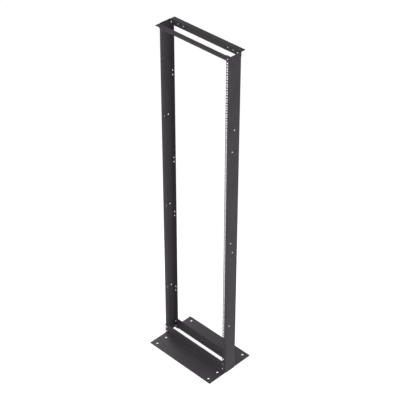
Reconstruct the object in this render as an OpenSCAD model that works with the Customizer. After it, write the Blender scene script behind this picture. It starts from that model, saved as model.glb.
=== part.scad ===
// Two post open frame rack that stands on the floor.
//
// Two folded steel channels stand with their open sides facing each other.
// A pair of heavy angles grips them at the floor and a pair of light angles
// ties them together at the top. Every joint is a hex bolt and a nut.
//
// X is the width, Y is the depth with the equipment face at -Y, Z is up.
// The origin is on the floor, midway between the posts. Sizes are in mm.

/* [Rack] */
// how many rack units the posts carry
rack_units = 45; // [40:1:48]
// height of the lowest unit's lower edge above the floor
unit_start_z = 86.9; // [80:0.1:110]
// bare post above the highest unit's upper edge
post_headroom = 38.85; // [37:0.05:60]

/* [Posts] */
// depth of a post from its front flange to its rear flange
post_depth = 77; // [75:0.5:90]
// width of a post's flanges
flange_w = 30; // [28:0.5:40]
// sheet thickness of the posts
post_sheet = 2; // [1.5:0.1:3]
// inside radius of the folds in the posts
post_fold_r = 1; // [0.5:0.1:3]

/* [Equipment holes] */
// distance between the two rows of equipment holes, centre to centre
eia_spacing = 465.1; // [464:0.1:560]
// side of a square equipment hole
eia_hole = 10; // [9:0.1:10.5]
// distance from a row of equipment holes to the free edge of its flange
eia_edge = 7.05; // [6.5:0.05:9]

/* [Other post holes] */
// diameter of the accessory holes in the webs
web_hole_d = 9; // [6:0.1:12]
// distance between the two holes of a pair in a web
web_pair_gap = 28; // [20:0.1:40]
// height of the lowest pair in each web
web_pair_z = 352; // [300:1:400]
// distance from one pair to the next, up the web
web_pair_pitch = 600; // [580:1:610]
// diameter of the bonding holes in the right web
bond_hole_d = 8.5; // [5:0.1:10]
// height of the lower bonding hole
bond_hole_z = 882; // [800:1:900]
// distance from one bonding hole to the next, up the web
bond_hole_pitch = 800; // [700:1:820]
// diameter of the accessory holes in the rear flanges
rear_hole_d = 8.5; // [5:0.1:10]
// distance from a post's outer face to its rear holes
rear_hole_inset = 15; // [12:0.1:20]
// distance between the two holes of a pair in a rear flange
rear_pair_gap = 28; // [20:0.1:35]
// distance from a post's mid-height to the two nearer pairs in its rear flange
rear_pair_near = 187.5; // [150:0.5:250]
// distance from a post's mid-height to the two farther pairs
rear_pair_far = 747.5; // [600:0.5:760]

/* [Base angles] */
// height of the upright leg of a base angle
base_upright = 76; // [74:0.1:80]
// width of the floor leg of a base angle
base_foot = 133.5; // [120:0.5:160]
// thickness of a base angle
base_t = 4; // [3:0.1:6]
// inside radius of the fold in a base angle
base_fold_r = 3; // [2:0.1:5]
// how far the ends of all four angles stop short of the posts' outer faces
angle_setback = 2; // [0:0.1:4]
// diameter of a floor anchor hole
anchor_hole_d = 14; // [10:0.1:16]
// distance from the end of a base angle to its anchor holes
anchor_end = 35; // [25:0.5:60]
// distance from the upright leg's rear face to the nearer anchor holes
anchor_near = 33; // [28:0.5:45]
// distance from the floor leg's free edge to the farther anchor holes
anchor_edge = 26; // [20:0.5:35]

/* [Top angles] */
// height of the upright leg of a top angle
top_upright = 31; // [30:0.1:34]
// width of the flat leg of a top angle
top_flat = 31; // [28:0.1:40]
// thickness of a top angle
top_t = 2.5; // [2:0.1:3]
// inside radius of the fold in a top angle
top_fold_r = 1.5; // [1:0.1:2]
// height of the holes above the upright leg's lower edge
top_hole_rise = 18.5; // [15:0.1:19]
// distance from the end of a top angle to its outer tie hole
tie_outer_end = 56; // [50:0.5:70]
// distance from the end of a top angle to its inner tie hole
tie_inner_end = 94; // [80:0.5:120]
// diameter of a tie hole
tie_hole_d = 7; // [5:0.1:9]

/* [Fasteners] */
// diameter of a bolt's shank
bolt_d = 8; // [6:0.1:10]
// width of a hex head and of a nut, across the flats
hex_flats = 13; // [12:0.1:15]
// height of a hex head
head_h = 5.3; // [4:0.1:7]
// height of a nut
nut_h = 6.8; // [6:0.1:9]
// bolt left showing past the nut
bolt_tail = 3; // [1:0.1:6]
// distance from a post's outer face to its bolts
bolt_inset = 16.5; // [14:0.1:20]
// height of the lower bolts in the base angles
base_bolt_low_z = 27.5; // [20:0.5:30]
// distance between the lower and upper bolts in the base angles
base_bolt_rise = 34; // [25:0.5:36]
// gap between a shank and its hole in the sheet, all round
hole_gap = 0.4; // [0.2:0.05:0.8]
// gap between a shank and the nut's bore, all round
thread_gap = 0.05; // [0.02:0.01:0.1]

/* [Hidden] */
$fn = 48;
unit_h = 44.45;
// the three holes of a rack unit, measured up from the unit's lower edge
unit_holes = [6.35, 22.225, 38.1];
rack_h = unit_start_z + rack_units * unit_h + post_headroom;
// the clear width between the two posts, and half the width over their outer faces
opening_w = eia_spacing - 2 * eia_edge;
side_x = opening_w / 2 + flange_w;
angle_w = 2 * (side_x - angle_setback);
face_y = post_depth / 2;
cut = 1;

eia_z = [for (u = [0:rack_units - 1]) for (h = unit_holes) unit_start_z + u * unit_h + h];
web_pair_zs = [for (i = [0:2]) web_pair_z + i * web_pair_pitch];
rear_pair_zs = [for (d = [-rear_pair_far, -rear_pair_near, rear_pair_near, rear_pair_far]) rack_h / 2 + d];
bond_hole_zs = [bond_hole_z, bond_hole_z + bond_hole_pitch];

// distance from a post's outer face to its equipment holes
eia_inset = flange_w - eia_edge;
bolt_x = side_x - bolt_inset;
bolt_hole_d = bolt_d + 2 * hole_gap;
base_bolt_zs = [base_bolt_low_z, base_bolt_low_z + base_bolt_rise];
top_hole_z = rack_h - top_upright + top_hole_rise;
anchor_x = angle_w / 2 - anchor_end;
anchor_ys = [face_y + anchor_near, face_y + base_foot - anchor_edge];
tie_xs = [angle_w / 2 - tie_outer_end, angle_w / 2 - tie_inner_end];
hex_corners = hex_flats / cos(30);
// the round top of a head or nut, as a part of its width across the flats
turned_part = 0.94;

steel_black = [0.10, 0.10, 0.11];
zinc = [0.62, 0.63, 0.65];

// ---- shared shapes ----

// a quarter-rounded block: one corner at the origin, rounded there by r
module block_rounded_at_heel(w, h, r) {
  translate([r, 0])
    square([w - r, h]);
  translate([0, r])
    square([w, h - r]);
  translate([r, r])
    circle(r = r);
}

// an L of sheet with its folded corner at the origin and its legs along +X and +Y
module angle_profile(leg_x, leg_y, t, fold_r) {
  difference() {
    block_rounded_at_heel(leg_x, leg_y, fold_r + t);
    translate([t, t])
      block_rounded_at_heel(leg_x, leg_y, fold_r);
  }
}

// half of a channel is an angle, so a channel is two of them back to back
module channel_profile(leg, depth, t, fold_r) {
  for (side = [-1, 1])
    scale([1, side])
      translate([0, -depth / 2])
        angle_profile(leg, depth / 2, t, fold_r);
}

// a hole through sheet that faces the front or the rear
module hole_through_y(x, y, z, d, t) {
  translate([x, y, z])
    rotate([90, 0, 0])
      cylinder(d = d, h = t + 2 * cut, center = true);
}

// a hole through sheet that faces sideways
module hole_through_x(x, y, z, d, t) {
  translate([x, y, z])
    rotate([0, 90, 0])
      cylinder(d = d, h = t + 2 * cut, center = true);
}

// a hole down through a floor leg
module hole_through_z(x, y, z, d, t) {
  translate([x, y, z])
    cylinder(d = d, h = t + 2 * cut, center = true);
}

// ---- posts ----

// a post with its web at x = 0 and its flanges reaching towards +X
module post_blank() {
  linear_extrude(height = rack_h)
    channel_profile(flange_w, post_depth, post_sheet, post_fold_r);
}

module post_holes() {
  front_y = -face_y + post_sheet / 2;
  rear_y = face_y - post_sheet / 2;
  for (z = eia_z)
    translate([eia_inset, front_y, z])
      cube([eia_hole, post_sheet + 2 * cut, eia_hole], center = true);
  for (z = rear_pair_zs, half = [-1, 1])
    hole_through_y(rear_hole_inset, rear_y, z + half * rear_pair_gap / 2, rear_hole_d, post_sheet);
  for (z = web_pair_zs, half = [-1, 1])
    hole_through_x(post_sheet / 2, half * web_pair_gap / 2, z, web_hole_d, post_sheet);
  for (z = concat(base_bolt_zs, [top_hole_z]), y = [front_y, rear_y])
    hole_through_y(bolt_inset, y, z, bolt_hole_d, post_sheet);
}

module post() {
  difference() {
    post_blank();
    post_holes();
  }
}

module left_post() {
  color(steel_black)
    translate([-side_x, 0, 0])
      post();
}

module right_post() {
  color(steel_black)
    translate([side_x, 0, 0])
      mirror([1, 0, 0])
        difference() {
          post();
          for (z = bond_hole_zs)
            hole_through_x(post_sheet / 2, 0, z, bond_hole_d, post_sheet);
        }
}

// ---- base and top angles ----

// an angle that runs the width of the rack, its heel on the X axis,
// one leg up (+Z) and one leg out to the front (-Y)
module cross_angle(flat, upright, t, fold_r) {
  translate([-angle_w / 2, 0, 0])
    rotate([90, 0, 90])
      linear_extrude(height = angle_w)
        mirror([1, 0])
          angle_profile(flat, upright, t, fold_r);
}

module base_angle() {
  difference() {
    translate([0, -face_y, 0])
      cross_angle(base_foot, base_upright, base_t, base_fold_r);
    for (side = [-1, 1]) {
      for (z = base_bolt_zs)
        hole_through_y(side * bolt_x, -face_y - base_t / 2, z, bolt_hole_d, base_t);
      for (y = anchor_ys)
        hole_through_z(side * anchor_x, -y, base_t / 2, anchor_hole_d, base_t);
    }
  }
}

// the top angle is the same shape upside down, with its heel at the top
module top_angle() {
  difference() {
    translate([0, -face_y, rack_h])
      mirror([0, 0, 1])
        cross_angle(top_flat, top_upright, top_t, top_fold_r);
    for (side = [-1, 1]) {
      hole_through_y(side * bolt_x, -face_y - top_t / 2, top_hole_z, bolt_hole_d, top_t);
      for (x = tie_xs)
        hole_through_y(side * x, -face_y - top_t / 2, top_hole_z, tie_hole_d, top_t);
    }
  }
}

module front_base_angle() {
  color(steel_black)
    base_angle();
}

module rear_base_angle() {
  color(steel_black)
    mirror([0, 1, 0])
      base_angle();
}

module front_top_angle() {
  color(steel_black)
    top_angle();
}

module rear_top_angle() {
  color(steel_black)
    mirror([0, 1, 0])
      top_angle();
}

// ---- bolts and nuts ----

// a hex prism on +Z whose top corners are turned down to a cone
module hex_block(h) {
  top_d = turned_part * hex_flats;
  intersection() {
    cylinder(d = hex_corners, h = h, $fn = 6);
    cylinder(d1 = top_d + 2 * h / tan(30), d2 = top_d, h = h);
  }
}

// a bolt along +Z: the underside of its head is at z = 0 and its head is below
module bolt(grip) {
  mirror([0, 0, 1])
    hex_block(head_h);
  cylinder(d = bolt_d, h = grip + nut_h + bolt_tail);
}

// a nut whose seat is at z = 0
module nut() {
  difference() {
    hex_block(nut_h);
    translate([0, 0, -cut])
      cylinder(d = bolt_d + 2 * thread_gap, h = nut_h + 2 * cut);
  }
}

// puts a bolt or a nut on the front face of a post, pointing to the rear
module at_front(side, z, y) {
  translate([side * bolt_x, y, z])
    rotate([-90, 0, 0])
      children();
}

module bolt_at(side, z, t) {
  color(zinc)
    at_front(side, z, -face_y - t)
      bolt(t + post_sheet);
}

module nut_at(side, z) {
  color(zinc)
    at_front(side, z, -face_y + post_sheet)
      nut();
}

module to_rear() {
  mirror([0, 1, 0])
    children();
}

module bolt_front_left_low() { bolt_at(-1, base_bolt_zs[0], base_t); }
module bolt_front_left_high() { bolt_at(-1, base_bolt_zs[1], base_t); }
module bolt_front_left_top() { bolt_at(-1, top_hole_z, top_t); }
module bolt_front_right_low() { bolt_at(1, base_bolt_zs[0], base_t); }
module bolt_front_right_high() { bolt_at(1, base_bolt_zs[1], base_t); }
module bolt_front_right_top() { bolt_at(1, top_hole_z, top_t); }
module bolt_rear_left_low() { to_rear() bolt_front_left_low(); }
module bolt_rear_left_high() { to_rear() bolt_front_left_high(); }
module bolt_rear_left_top() { to_rear() bolt_front_left_top(); }
module bolt_rear_right_low() { to_rear() bolt_front_right_low(); }
module bolt_rear_right_high() { to_rear() bolt_front_right_high(); }
module bolt_rear_right_top() { to_rear() bolt_front_right_top(); }

module nut_front_left_low() { nut_at(-1, base_bolt_zs[0]); }
module nut_front_left_high() { nut_at(-1, base_bolt_zs[1]); }
module nut_front_left_top() { nut_at(-1, top_hole_z); }
module nut_front_right_low() { nut_at(1, base_bolt_zs[0]); }
module nut_front_right_high() { nut_at(1, base_bolt_zs[1]); }
module nut_front_right_top() { nut_at(1, top_hole_z); }
module nut_rear_left_low() { to_rear() nut_front_left_low(); }
module nut_rear_left_high() { to_rear() nut_front_left_high(); }
module nut_rear_left_top() { to_rear() nut_front_left_top(); }
module nut_rear_right_low() { to_rear() nut_front_right_low(); }
module nut_rear_right_high() { to_rear() nut_front_right_high(); }
module nut_rear_right_top() { to_rear() nut_front_right_top(); }

// ---- what is drawn ----

left_post();
right_post();
front_base_angle();
rear_base_angle();
front_top_angle();
rear_top_angle();
bolt_front_left_low();
bolt_front_left_high();
bolt_front_left_top();
bolt_front_right_low();
bolt_front_right_high();
bolt_front_right_top();
bolt_rear_left_low();
bolt_rear_left_high();
bolt_rear_left_top();
bolt_rear_right_low();
bolt_rear_right_high();
bolt_rear_right_top();
nut_front_left_low();
nut_front_left_high();
nut_front_left_top();
nut_front_right_low();
nut_front_right_high();
nut_front_right_top();
nut_rear_left_low();
nut_rear_left_high();
nut_rear_left_top();
nut_rear_right_low();
nut_rear_right_high();
nut_rear_right_top();
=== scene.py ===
# %% [markdown]
# # A two post open frame rack
#
# The real object is a floor rack for network and audio equipment. Two tall
# steel channels stand on a pair of wide base angles, and a pair of small
# angles ties them together at the top. Equipment fixes to the square holes
# in the front flanges of the channels.
#
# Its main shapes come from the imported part, which is loaded here as a fixed
# frame in metres. Blender adds the finishes, the bolts and nuts with their
# chamfers and rolled threads, the floor, the light and the camera.

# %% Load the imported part
import math

import bmesh
import bpy
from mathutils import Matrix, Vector


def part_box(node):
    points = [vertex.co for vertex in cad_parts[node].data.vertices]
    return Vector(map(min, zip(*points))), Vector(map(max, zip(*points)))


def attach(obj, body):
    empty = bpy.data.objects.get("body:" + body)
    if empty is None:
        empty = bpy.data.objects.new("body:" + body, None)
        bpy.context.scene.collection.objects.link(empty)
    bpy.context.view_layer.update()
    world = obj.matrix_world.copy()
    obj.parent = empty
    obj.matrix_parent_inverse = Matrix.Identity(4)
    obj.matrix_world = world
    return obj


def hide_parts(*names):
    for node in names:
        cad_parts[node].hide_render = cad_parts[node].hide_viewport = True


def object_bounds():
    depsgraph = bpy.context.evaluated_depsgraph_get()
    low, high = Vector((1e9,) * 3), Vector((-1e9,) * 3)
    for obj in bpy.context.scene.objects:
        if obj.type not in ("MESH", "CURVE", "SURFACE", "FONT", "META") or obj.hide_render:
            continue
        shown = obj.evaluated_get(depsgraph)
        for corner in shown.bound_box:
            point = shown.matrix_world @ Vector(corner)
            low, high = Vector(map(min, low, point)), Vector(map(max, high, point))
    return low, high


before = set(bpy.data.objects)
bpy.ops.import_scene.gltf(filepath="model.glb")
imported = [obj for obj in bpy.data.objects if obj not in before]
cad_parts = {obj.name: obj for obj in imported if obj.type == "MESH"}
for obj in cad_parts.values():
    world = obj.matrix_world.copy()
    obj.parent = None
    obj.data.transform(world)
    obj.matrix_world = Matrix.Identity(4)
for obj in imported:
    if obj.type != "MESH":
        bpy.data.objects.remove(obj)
cad_low, cad_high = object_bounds()
cad_size = cad_high - cad_low
centre = (cad_low + cad_high) / 2
print(len(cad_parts), "parts,", [round(v, 3) for v in cad_size], "m")

# %% [markdown]
# ## Colours and nodes
#
# A colour in a paint chart is written as sRGB hex, but the renderer adds up
# light in linear values, so one function turns the first into the second.
# A second function adds a shader node, sets its properties and fills its
# sockets, either with a value or with a link from another node. A third
# starts an empty material. Every material below is written with these.

# %% Helpers for colours and shader nodes
MM = 0.001


def linear(hex_colour):
    """Turns an sRGB hex colour into the linear RGBA that shaders use."""
    channels = [int(hex_colour[i:i + 2], 16) / 255 for i in (1, 3, 5)]
    return [c / 12.92 if c <= 0.04045 else ((c + 0.055) / 1.055) ** 2.4 for c in channels] + [1.0]


def add_node(tree, kind, inputs=None, **settings):
    """Adds a shader node with its settings, and fills its inputs with values or links."""
    node = tree.nodes.new("ShaderNode" + kind)
    for name, value in settings.items():
        setattr(node, name, value)
    for name, value in (inputs or {}).items():
        if isinstance(value, bpy.types.NodeSocket):
            tree.links.new(value, node.inputs[name])
        else:
            node.inputs[name].default_value = value
    return node


def new_material(name):
    """Makes an empty node material and returns it with its tree."""
    material = bpy.data.materials.new(name)
    material.use_nodes = True
    material.node_tree.nodes.clear()
    return material, material.node_tree


print("charcoal in linear light:", [round(c, 4) for c in linear("#403c41")])

# %% [markdown]
# ## Camera
#
# The rack is seen from in front and to the right, from well above its top,
# with a long lens. It could be placed by eye, but a target point, two
# angles and a distance describe the same view in numbers that mean
# something. The lens is long because a tall slim object looks natural only
# when its uprights stay nearly parallel.

# %% Camera
VIEW_TURN = math.radians(44.888)
VIEW_RISE = math.radians(35.55)
VIEW_DISTANCE = 6.915
AIM_SHIFT = Vector((-0.015, 0.018, 0.032))
SENSOR_MM = 36
LENS_MM = 111.83

aim = centre + AIM_SHIFT
back = Vector((
    math.sin(VIEW_TURN) * math.cos(VIEW_RISE),
    -math.cos(VIEW_TURN) * math.cos(VIEW_RISE),
    math.sin(VIEW_RISE),
))
lens = bpy.data.cameras.new("camera")
lens.sensor_width = SENSOR_MM
lens.lens = LENS_MM
lens.clip_end = 100
camera = bpy.data.objects.new("camera", lens)
camera.location = aim + back * VIEW_DISTANCE
camera.rotation_mode = "QUATERNION"
camera.rotation_quaternion = (-back).to_track_quat("-Z", "Y")
bpy.context.scene.collection.objects.link(camera)
bpy.context.scene.camera = camera
print("camera at", [round(v, 3) for v in camera.location])

# %% [markdown]
# ## Powder coat
#
# The six steel parts are powder coated: dry charcoal polyester powder is
# sprayed on the bare steel and baked until it melts into one skin, about
# 0.08 mm thick. It is a plastic film, so it is not metallic, its IOR is
# near 1.5 and its sheen is broad and soft. Melting leaves a fine orange
# peel with bumps 1 to 2 mm across, and the skin is thicker here and thinner
# there, which the eye reads as very slight clouds in the sheen. It pulls
# back from sharp edges as it melts, so cut edges and hole rims look a shade
# lighter.
#
# The peel is far finer than a full view of a 2 m rack can show. There the
# coarser clouds of colour and of gloss carry the look instead. The sheen is
# set lower than a smooth film would have, because the fine grain on top of
# the peel scatters part of it.

# %% Patterns and edges of the coat
PEEL_MM, PEEL_DEPTH_MM = 1.6, 0.10
GRAIN_MM, GRAIN_DEPTH_MM = 0.45, 0.05
CLOUD_MM = 140
RUB_MM = 22
EDGE_MM = 0.7
EDGE_STARTS, EDGE_FULL = 0.98, 0.80

powder_coat, tree = new_material("charcoal_polyester_powder_coat")
place = add_node(tree, "TexCoord").outputs["Object"]
peel = add_node(tree, "TexNoise", {"Vector": place, "Scale": 1 / (PEEL_MM * MM), "Detail": 2.0})
grain = add_node(tree, "TexNoise", {"Vector": place, "Scale": 1 / (GRAIN_MM * MM), "Detail": 1.0})
cloud = add_node(tree, "TexNoise", {"Vector": place, "Scale": 1 / (CLOUD_MM * MM), "Detail": 3.0})
rub = add_node(tree, "TexNoise", {
    "Vector": place, "Scale": 1 / (RUB_MM * MM), "Detail": 6.0, "Roughness": 0.62,
})

# The Bevel node rounds the normal near an edge. The dot product of that
# normal and the true one is 1 on a flat face and falls towards an edge.
rounded = add_node(tree, "Bevel", {"Radius": EDGE_MM * MM}, samples=6)
true_normal = add_node(tree, "NewGeometry").outputs["Normal"]
same_way = add_node(tree, "VectorMath", {
    0: rounded.outputs["Normal"], 1: true_normal,
}, operation="DOT_PRODUCT")
edge = add_node(tree, "MapRange", {
    "Value": same_way.outputs["Value"], "From Min": EDGE_STARTS, "From Max": EDGE_FULL,
})
print("powder coat: peel", PEEL_MM, "mm, grain", GRAIN_MM, "mm, clouds", CLOUD_MM, "mm")

# %% [markdown]
# A noise texture gives a grey between 0 and 1 that mostly stays in the
# middle. So a finish fades from its first look to its second while the grey
# crosses that middle. The clouds of colour cross it a little faster, so
# they show a little more.

# %% Colour and gloss of the coat
COAT_THIN, COAT_THICK, COAT_EDGE = "#3e3a3f", "#423e43", "#605c61"
COAT_SATIN, COAT_DULL = 0.56, 0.68
NOISE_LOW, NOISE_HIGH = 0.3, 0.7
CLOUD_LOW, CLOUD_HIGH = 0.35, 0.65


def fade_colour(tree, factor, start, first_hex, end, second_hex):
    """Fades from one hex colour to another while the factor goes from start to end."""
    ramp = add_node(tree, "ValToRGB", {"Fac": factor})
    first, second = ramp.color_ramp.elements
    first.position, first.color = start, linear(first_hex)
    second.position, second.color = end, linear(second_hex)
    return ramp.outputs["Color"]


skin = fade_colour(tree, cloud.outputs["Fac"], CLOUD_LOW, COAT_THIN, CLOUD_HIGH, COAT_THICK)
edged = add_node(tree, "Mix", {
    "Factor": edge.outputs["Result"], "A": skin, "B": linear(COAT_EDGE),
}, data_type="RGBA")
gloss = add_node(tree, "MapRange", {
    "Value": rub.outputs["Fac"], "From Min": NOISE_LOW, "From Max": NOISE_HIGH,
    "To Min": COAT_SATIN, "To Max": COAT_DULL,
})
fine = add_node(tree, "Bump", {
    "Height": grain.outputs["Fac"], "Normal": rounded.outputs["Normal"],
    "Strength": 0.25, "Distance": GRAIN_DEPTH_MM * MM,
})
bumped = add_node(tree, "Bump", {
    "Height": peel.outputs["Fac"], "Normal": fine.outputs["Normal"],
    "Strength": 0.5, "Distance": PEEL_DEPTH_MM * MM,
})
surface = add_node(tree, "BsdfPrincipled", {
    "Base Color": edged.outputs["Result"], "Roughness": gloss.outputs["Result"],
    "IOR": 1.5, "Specular IOR Level": 0.25, "Normal": bumped.outputs["Normal"],
})
add_node(tree, "OutputMaterial", {"Surface": surface.outputs["BSDF"]})
print("powder coat: roughness", COAT_SATIN, "to", COAT_DULL)

# %% [markdown]
# ## Zinc plate
#
# The frame bolts and nuts are steel with a thin coat of bright zinc. It is
# a true metal, so its colour lives in its reflections and its IOR stays at
# the default. Plating in a barrel leaves it bright but not quite a mirror,
# with soft patches where parts lay against each other in the bath.

# %% Zinc plated steel
PATCH_MM, PATCH_DEPTH_MM = 3.5, 0.05
ZINC_GREY, ZINC_CLEAR = "#a9adb2", "#c6c9cc"
ZINC_SATIN, ZINC_BRIGHT = 0.26, 0.16

zinc, tree = new_material("bright_zinc_plated_steel")
place = add_node(tree, "TexCoord").outputs["Object"]
patch = add_node(tree, "TexNoise", {"Vector": place, "Scale": 1 / (PATCH_MM * MM), "Detail": 4.0})
tone = fade_colour(tree, patch.outputs["Fac"], NOISE_LOW, ZINC_GREY, NOISE_HIGH, ZINC_CLEAR)
polish = add_node(tree, "MapRange", {
    "Value": patch.outputs["Fac"], "From Min": NOISE_LOW, "From Max": NOISE_HIGH,
    "To Min": ZINC_SATIN, "To Max": ZINC_BRIGHT,
})
uneven = add_node(tree, "Bump", {
    "Height": patch.outputs["Fac"], "Strength": 0.3, "Distance": PATCH_DEPTH_MM * MM,
})
surface = add_node(tree, "BsdfPrincipled", {
    "Base Color": tone, "Metallic": 1.0,
    "Roughness": polish.outputs["Result"], "Normal": uneven.outputs["Normal"],
})
add_node(tree, "OutputMaterial", {"Surface": surface.outputs["BSDF"]})
print("zinc plate: patches", PATCH_MM, "mm, roughness", ZINC_BRIGHT, "to", ZINC_SATIN)

# %% [markdown]
# ## Finishes on the steel parts
#
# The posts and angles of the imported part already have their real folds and
# punched holes, so they stay as they are and only receive their finish.

# %% Paint the posts and angles
steel_parts = [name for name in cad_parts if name.endswith(("_post", "_angle"))]
for name in steel_parts:
    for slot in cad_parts[name].material_slots:
        slot.material = powder_coat
print("painted:", steel_parts)

# %% [markdown]
# ## Hex bolts and nuts
#
# Each joint of the frame has an M8 hex bolt and a nut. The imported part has
# them as plain solids of the right size. Here each is made again with its
# rolled thread, its washer face and the curved edges that the chamfer cuts
# into the six flats. A thread could be a screw modifier on a profile, but a
# bolt is simpler to think of as a stack of rings of points.
#
# The tail is what shows of a bolt past its nut. The chamfer starts on a
# circle a little smaller than the flats are wide.

# %% Sizes of the fasteners
SHANK_D = 8 * MM
FLATS = 13 * MM
HEAD_H = 5.3 * MM
NUT_H = 6.8 * MM
TAIL = 3 * MM
PITCH = 1.25 * MM
THREAD_DEPTH = 0.6 * MM
WASHER_FACE = 0.3 * MM
CHAMFER_D = 0.94 * FLATS
END_CHAMFER = 1.0 * MM
BORE_GAP = 0.05 * MM
MOUTH_CHAMFER = 0.5 * MM
CHAMFER_SLOPE = math.tan(math.radians(30))
SHARP_ANGLE = math.radians(28)
ROUND_STEPS = 48
THREAD_STEPS = 8
print("thread turns showing past a nut:", TAIL / PITCH)

# %% [markdown]
# Every ring has the same number of points, in the same directions. A round
# ring keeps one radius. A hex ring follows the flats, and its corners drop
# or rise where the chamfer cuts them. In a ring of the thread the radius
# goes up and down once, and the next such ring is turned a little further,
# so the crest winds upwards.

# %% Rings of points
def angles():
    """The directions of the points of every ring."""
    return [2 * math.pi * i / ROUND_STEPS for i in range(ROUND_STEPS)]


def round_ring(radius, z):
    """A circle of points at height z."""
    return [(radius * math.cos(a), radius * math.sin(a), z) for a in angles()]


def hex_radius(angle):
    """The distance from the middle of a hexagon to its side, with a corner at angle 0."""
    from_flat = (angle % (math.pi / 3)) - math.pi / 6
    return FLATS / 2 / math.cos(from_flat)


def hex_ring(z, chamfer=0):
    """A hexagon at height z. A chamfer of 1 or -1 lowers or lifts its corners to a cone."""
    ring = []
    for a in angles():
        r = hex_radius(a)
        drop = (r - CHAMFER_D / 2) * CHAMFER_SLOPE
        ring.append((r * math.cos(a), r * math.sin(a), z - chamfer * drop))
    return ring


def thread_ring(z, limit):
    """One slice of the thread. Its crest winds round, and limit cuts it at the tip's chamfer."""
    ring = []
    for a in angles():
        turn = (z / PITCH - a / (2 * math.pi)) % 1
        r = min(SHANK_D / 2 - THREAD_DEPTH * abs(2 * turn - 1), limit)
        ring.append((r * math.cos(a), r * math.sin(a), z))
    return ring


print("hex across corners:", round(2 * hex_radius(0) / MM, 2), "mm")

# %% [markdown]
# One function skins any stack of rings. Its faces are shaded smooth, and
# only where two of them meet at more than a small angle is the edge sharp,
# so round parts look round while flats and chamfers keep their corners.

# %% Skin a stack of rings
def skin_rings(name, rings, closed):
    """Joins each ring to the next. A closed stack ends where it began, any other gets two caps."""
    mesh = bpy.data.meshes.new(name)
    bm = bmesh.new()
    rows = [[bm.verts.new(point) for point in ring] for ring in rings]
    for low, high in zip(rows, rows[1:] + (rows[:1] if closed else [])):
        for i in range(ROUND_STEPS):
            j = (i + 1) % ROUND_STEPS
            bm.faces.new((low[i], low[j], high[j], high[i]))
    if not closed:
        bm.faces.new(rows[0])
        bm.faces.new(rows[-1])
    bmesh.ops.recalc_face_normals(bm, faces=bm.faces)
    bm.to_mesh(mesh)
    bm.free()
    mesh.shade_smooth()
    mesh.set_sharp_from_angle(angle=SHARP_ANGLE)
    mesh.materials.append(zinc)
    return mesh


# %% [markdown]
# A bolt points along +Z from the underside of its head, which is at z = 0.
# Its thread starts inside the nut, where nothing shows, and runs out in a
# chamfer at the tip. The bolt fills the nut, so the nut's own thread is
# never seen, and its bore stays smooth between its two chamfered mouths.

# %% Bolt and nut meshes
def steps(start, end):
    """Heights from start to end, THREAD_STEPS to each turn of the thread."""
    count = math.ceil(abs(end - start) / (PITCH / THREAD_STEPS))
    return [start + (end - start) * i / count for i in range(count + 1)]


def bolt_mesh(name, grip):
    """A bolt whose grip is the thickness of steel between its head and its nut."""
    tip = grip + NUT_H + TAIL
    rings = [round_ring(CHAMFER_D / 2, -HEAD_H), hex_ring(-HEAD_H, -1), hex_ring(-WASHER_FACE)]
    rings += [round_ring(CHAMFER_D / 2, -WASHER_FACE), round_ring(CHAMFER_D / 2, 0)]
    rings += [round_ring(SHANK_D / 2, 0), round_ring(SHANK_D / 2, grip)]
    for z in steps(grip + PITCH / THREAD_STEPS, tip):
        limit = SHANK_D / 2 - max(0, END_CHAMFER - (tip - z))
        rings.append(thread_ring(z, limit))
    return skin_rings(name, rings, closed=False)


def nut_mesh(name):
    """A nut whose seat is at z = 0."""
    bore = SHANK_D / 2 + BORE_GAP
    mouth = bore + MOUTH_CHAMFER
    rings = [round_ring(CHAMFER_D / 2, 0), hex_ring(0, -1)]
    rings += [hex_ring(NUT_H, 1), round_ring(CHAMFER_D / 2, NUT_H)]
    rings += [round_ring(mouth, NUT_H), round_ring(bore, NUT_H - MOUTH_CHAMFER)]
    rings += [round_ring(bore, MOUTH_CHAMFER), round_ring(mouth, 0)]
    return skin_rings(name, rings, closed=True)


print("thread rings in each bolt:", len(steps(PITCH / THREAD_STEPS, NUT_H + TAIL)))

# %% [markdown]
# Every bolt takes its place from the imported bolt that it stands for, and
# the same for the nuts. Two bolt meshes and one nut mesh are enough, because
# all the bolts of the base grip 6 mm of steel and all those of the top grip
# 4.5 mm. No two bolts in a real frame stop at the same turn, so each piece
# is turned a little differently. A hexagon looks the same again after 60
# degrees. Bolts of the front side point to the back, and the others to the
# front.

# %% Place the bolts and nuts
TURN_STEP = 37
HEX_TURN = 60

meshes = {}
made = 0
for index, name in enumerate(sorted(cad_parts)):
    if name in steel_parts:
        continue
    low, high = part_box(name)
    inward = 1 if low.y + high.y < 0 else -1
    seat = low.y if inward > 0 else high.y
    if name.startswith("bolt_"):
        length = high.y - low.y
        kind = "hex_bolt_%.1f" % (length / MM)
        if kind not in meshes:
            meshes[kind] = bolt_mesh(kind, length - HEAD_H - NUT_H - TAIL)
        seat += inward * HEAD_H
    else:
        kind = "hex_nut"
        if kind not in meshes:
            meshes[kind] = nut_mesh(kind)
    piece = bpy.data.objects.new("threaded_" + name, meshes[kind])
    piece.location = ((low.x + high.x) / 2, seat, (low.z + high.z) / 2)
    turn = index * TURN_STEP % HEX_TURN
    piece.rotation_euler = (math.radians(-90 * inward), math.radians(turn), 0)
    bpy.context.scene.collection.objects.link(piece)
    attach(piece, "root")
    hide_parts(name)
    made += 1
print(made, "fasteners, faces in each mesh:", {k: len(m.polygons) for k, m in meshes.items()})

# %% [markdown]
# ## Floor and surroundings
#
# The rack stands on a white studio floor under a white sky. The camera and
# the reflections see both as plain white, while the light that falls on the
# rack is kept lower, so that dark paint still renders close to its written
# colour. The floor keeps a soft shadow under the base.

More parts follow.
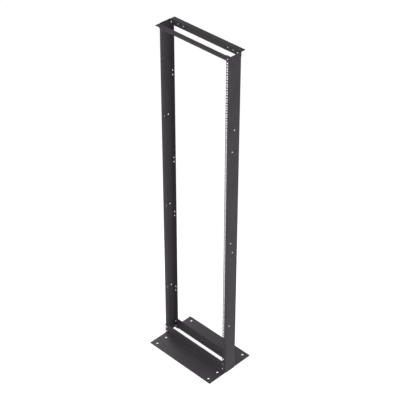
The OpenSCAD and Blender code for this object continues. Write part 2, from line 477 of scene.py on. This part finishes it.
# %% Floor and world
FLOOR_SIZE = 30
FLOOR_GAP = 0.2 * MM
GLOW_SEEN = 0.90
FLOOR_SEEN = 0.30
FLOOR_LIT = 0.80
SKY_SEEN = 1.0
SKY_LIGHT = 0.35


def seen_directly(tree):
    """1 for rays from the camera, or ones that metal and glass reflect or pass."""
    path = add_node(tree, "LightPath")
    seen = add_node(tree, "Math", {
        0: path.outputs["Is Camera Ray"], 1: path.outputs["Is Glossy Ray"],
    }, operation="MAXIMUM")
    seen = add_node(tree, "Math", {
        0: seen.outputs[0], 1: path.outputs["Is Transmission Ray"],
    }, operation="MAXIMUM")
    return seen.outputs[0]


white_floor, tree = new_material("matt_white_studio_floor")
seen = seen_directly(tree)
paint = add_node(tree, "Mix", {
    "Factor": seen, "A": [FLOOR_LIT] * 3 + [1], "B": [FLOOR_SEEN] * 3 + [1],
}, data_type="RGBA")
matt = add_node(tree, "BsdfDiffuse", {"Color": paint.outputs["Result"]})
glow_strength = add_node(tree, "Math", {0: seen, 1: GLOW_SEEN}, operation="MULTIPLY")
glow = add_node(tree, "Emission", {"Strength": glow_strength.outputs[0]})
both = add_node(tree, "AddShader", {0: matt.outputs[0], 1: glow.outputs[0]})
add_node(tree, "OutputMaterial", {"Surface": both.outputs[0]})

mesh = bpy.data.meshes.new("floor")
half = FLOOR_SIZE / 2
under = cad_low.z - FLOOR_GAP
corners = [(-half, -half, under), (half, -half, under), (half, half, under), (-half, half, under)]
mesh.from_pydata(corners, [], [(0, 1, 2, 3)])
floor = bpy.data.objects.new("floor", mesh)
floor.data.materials.append(white_floor)
bpy.context.scene.collection.objects.link(floor)

world = bpy.data.worlds.new("white_studio")
bpy.context.scene.world = world
world.use_nodes = True
world.node_tree.nodes.clear()
tree = world.node_tree
seen = seen_directly(tree)
level = add_node(tree, "MapRange", {"Value": seen, "To Min": SKY_LIGHT, "To Max": SKY_SEEN})
sky = add_node(tree, "Background", {"Color": [1, 1, 1, 1], "Strength": level.outputs["Result"]})
add_node(tree, "OutputWorld", {"Surface": sky.outputs[0]})
print("floor", FLOOR_SIZE, "m wide, sky light", SKY_LIGHT)

# %% [markdown]
# ## Lamps
#
# A dark, satin object needs several soft lamps rather than one bright one:
# each side of a folded channel then gets a grey of its own, and the folds
# show. Most of the light comes from two wide pairs in front, to the right
# and to the left, and one more wide lamp stands at the right. Three smaller
# lamps stand closer and point at the base, so their light fades along it,
# and the two on the left throw a soft shadow of the left post across the
# front foot. The lamps are hidden from the camera.

# %% Soft lamps
NEAR_LAMP = 3.0
BASE_AIM = Vector((0, 0, 0.1))
LAMPS = (
    # name, degrees round from the front, distance, height and width in m, power in W
    ("front_right_low", 45, 3.98, 1.41, 1.6, 34.0),
    ("front_right_high", 45, 3.28, 3.36, 1.6, 29.0),
    ("front_left_low", 315, 3.98, 1.41, 1.6, 12.4),
    ("front_left_high", 315, 3.28, 3.36, 1.6, 13.0),
    ("right_low", 90, 3.98, 1.41, 1.6, 8.2),
    ("right_near", 90, 1.60, 0.70, 1.2, 3.5),
    ("left_near", 270, 2.20, 1.30, 0.6, 12.0),
    ("left_base", 255, 1.00, 0.45, 0.4, 4.2),
)
for name, turn, distance, height, width, power in LAMPS:
    light = bpy.data.lights.new(name, "AREA")
    light.shape = "DISK"
    light.size = width
    light.energy = power
    lamp = bpy.data.objects.new(name, light)
    turn = math.radians(turn)
    lamp.location = (math.sin(turn) * distance, -math.cos(turn) * distance, height)
    target = BASE_AIM if distance < NEAR_LAMP else centre
    lamp.rotation_mode = "QUATERNION"
    lamp.rotation_quaternion = (target - lamp.location).to_track_quat("-Z", "Y")
    lamp.visible_camera = False
    bpy.context.scene.collection.objects.link(lamp)
bpy.context.scene.view_settings.view_transform = "Standard"
print(len(LAMPS), "soft lamps,", round(sum(row[-1] for row in LAMPS), 1), "W in all")
